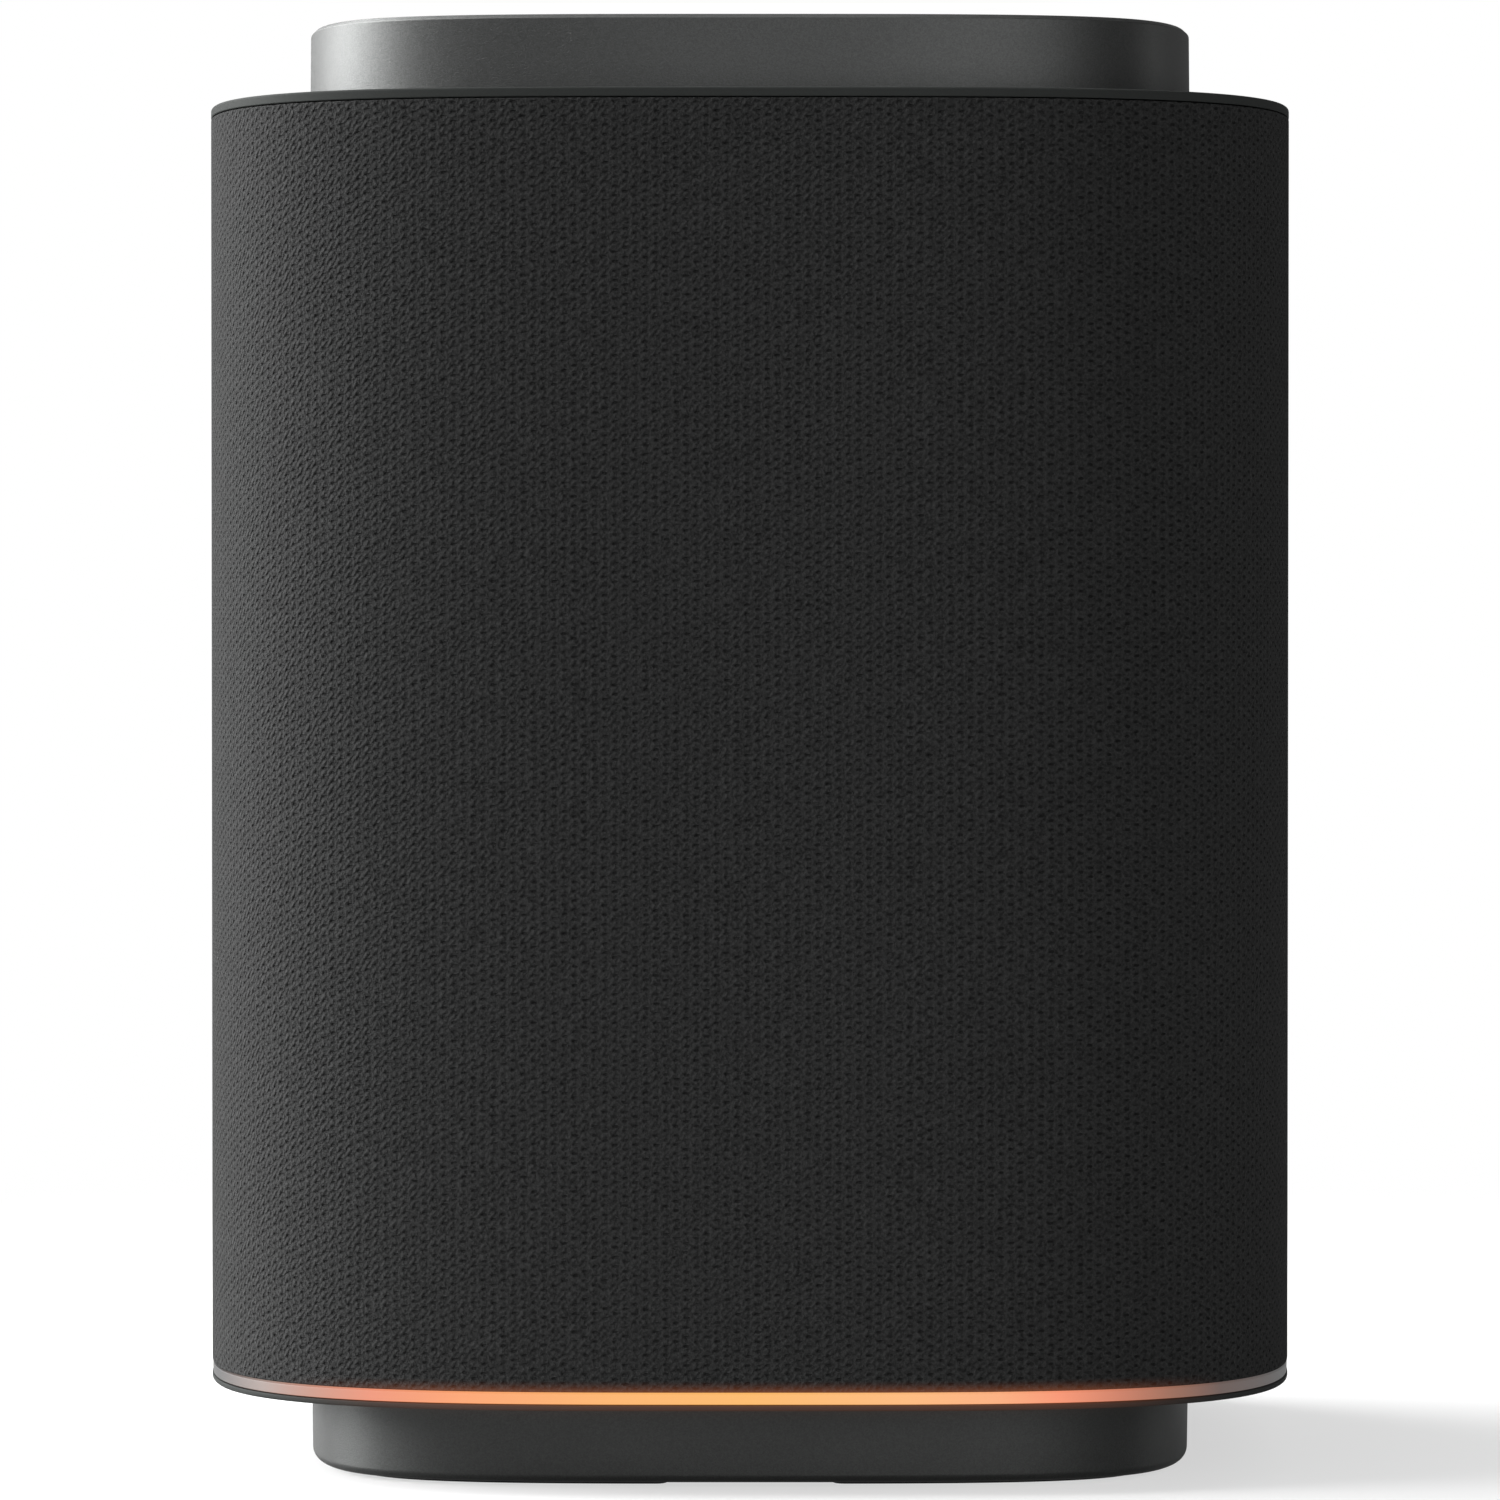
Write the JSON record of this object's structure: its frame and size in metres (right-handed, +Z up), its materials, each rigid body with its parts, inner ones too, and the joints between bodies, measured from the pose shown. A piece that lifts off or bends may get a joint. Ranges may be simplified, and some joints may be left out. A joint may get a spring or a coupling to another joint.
{
  "type": "smart speaker",
  "caption": "Tabletop smart speaker with a fabric body on a squircle plan, a raised metal cap with press buttons, a glowing ring under the fabric and a smaller metal foot.",
  "frame": {"origin": "centre of the footprint at the underside of the foot pads", "axes": "+Z up, -Y towards the front that faces the listener"},
  "size_m": [0.128, 0.128, 0.1685],
  "materials": {
    "knit_fabric": "matt knitted cloth",
    "graphite_paint": "satin metallic paint with a fine sparkle",
    "dark_rim_plastic": "satin dark plastic",
    "light_diffuser": "translucent, lit from inside: orange at the front",
    "black_rubber": "matt rubber",
    "surround_rubber": "smooth rubber",
    "board_laminate": "green solder mask",
    "plated_steel": "plated",
    "ferrite": "sintered ferrite",
    "bare_aluminium": "bare",
    "grille_plastic": "moulded",
    "inner_plastic": "moulded",
    "button_plastic": "satin moulded",
    "switch_plastic": "moulded",
    "cone_paper": "pressed paper pulp",
    "spider_cloth": "resin-dipped cloth",
    "dome_silk": "coated silk",
    "ribbon_plastic": "flexible printed strip"
  },
  "bodies": {
    "housing": {"base_shell": "graphite_paint", "foot_front_left": "black_rubber", "foot_front_right": "black_rubber", "foot_rear_left": "black_rubber", "foot_rear_right": "black_rubber", "power_inlet": "plated_steel", "inlet_board": "board_laminate", "base_screw_1": "plated_steel", "base_screw_2": "plated_steel", "base_screw_3": "plated_steel", "base_screw_4": "plated_steel", "lower_chassis": "dark_rim_plastic", "light_ring": "light_diffuser", "led_board": "board_laminate", "grille_frame": "grille_plastic", "fabric_sleeve": "knit_fabric", "top_rim": "dark_rim_plastic", "top_cap": "graphite_paint", "control_panel": "inner_plastic", "control_board": "board_laminate", "action_switch": "switch_plastic", "volume_up_switch": "switch_plastic", "mute_switch": "switch_plastic", "volume_down_switch": "switch_plastic", "microphone_1": "switch_plastic", "microphone_2": "switch_plastic", "microphone_3": "switch_plastic", "microphone_4": "switch_plastic", "enclosure_body": "inner_plastic", "enclosure_gasket": "black_rubber", "enclosure_lid": "inner_plastic", "woofer_basket": "bare_aluminium", "woofer_surround": "surround_rubber", "woofer_spider": "spider_cloth", "woofer_top_plate": "plated_steel", "woofer_magnet": "ferrite", "woofer_yoke": "plated_steel", "radiator_frame_left": "inner_plastic", "radiator_frame_right": "inner_plastic", "radiator_surround_left": "surround_rubber", "radiator_surround_right": "surround_rubber", "tweeter_bracket": "inner_plastic", "tweeter_housing_left": "switch_plastic", "tweeter_housing_right": "switch_plastic", "main_board": "board_laminate", "heat_sink": "bare_aluminium", "shield_can": "plated_steel", "wireless_module": "plated_steel", "control_ribbon": "ribbon_plastic"},
    "action_button": {"action_button": "button_plastic"},
    "volume_up_button": {"volume_up_button": "button_plastic"},
    "mute_button": {"mute_button": "button_plastic"},
    "volume_down_button": {"volume_down_button": "button_plastic"},
    "woofer_cone": {"woofer_cone": "cone_paper"},
    "tweeter_dome_left": {"tweeter_dome_left": "dome_silk"},
    "tweeter_dome_right": {"tweeter_dome_right": "dome_silk"},
    "radiator_piston_left": {"radiator_piston_left": "bare_aluminium"},
    "radiator_piston_right": {"radiator_piston_right": "bare_aluminium"}
  },
  "joints": [
    {"name": "action_press", "type": "slide", "parent": "housing", "child": "action_button", "axis": [0, 0, -1], "range_m": [0, 0.0008], "stiffness_N_per_m": 900},
    {"name": "volume_up_press", "type": "slide", "parent": "housing", "child": "volume_up_button", "axis": [0, 0, -1], "range_m": [0, 0.0008], "stiffness_N_per_m": 900},
    {"name": "mute_press", "type": "slide", "parent": "housing", "child": "mute_button", "axis": [0, 0, -1], "range_m": [0, 0.0008], "stiffness_N_per_m": 900},
    {"name": "volume_down_press", "type": "slide", "parent": "housing", "child": "volume_down_button", "axis": [0, 0, -1], "range_m": [0, 0.0008], "stiffness_N_per_m": 900},
    {"name": "woofer_travel", "type": "slide", "parent": "housing", "child": "woofer_cone", "axis": [0, -1, 0], "range_m": [-0.004, 0.004], "stiffness_N_per_m": 1200, "deforming": ["woofer_surround", "woofer_spider"]},
    {"name": "tweeter_left_travel", "type": "slide", "parent": "housing", "child": "tweeter_dome_left", "axis": [0, -1, 0], "range_m": [-0.0003, 0.0003], "stiffness_N_per_m": 2000},
    {"name": "tweeter_right_travel", "type": "slide", "parent": "housing", "child": "tweeter_dome_right", "axis": [0, -1, 0], "range_m": [-0.0003, 0.0003], "stiffness_N_per_m": 2000},
    {"name": "radiator_left_travel", "type": "slide", "parent": "housing", "child": "radiator_piston_left", "axis": [-1, 0, 0], "range_m": [-0.004, 0.004], "stiffness_N_per_m": 600, "deforming": ["radiator_surround_left"]},
    {"name": "radiator_right_travel", "type": "slide", "parent": "housing", "child": "radiator_piston_right", "axis": [1, 0, 0], "range_m": [-0.004, 0.004], "stiffness_N_per_m": 600, "deforming": ["radiator_surround_right"]}
  ]
}
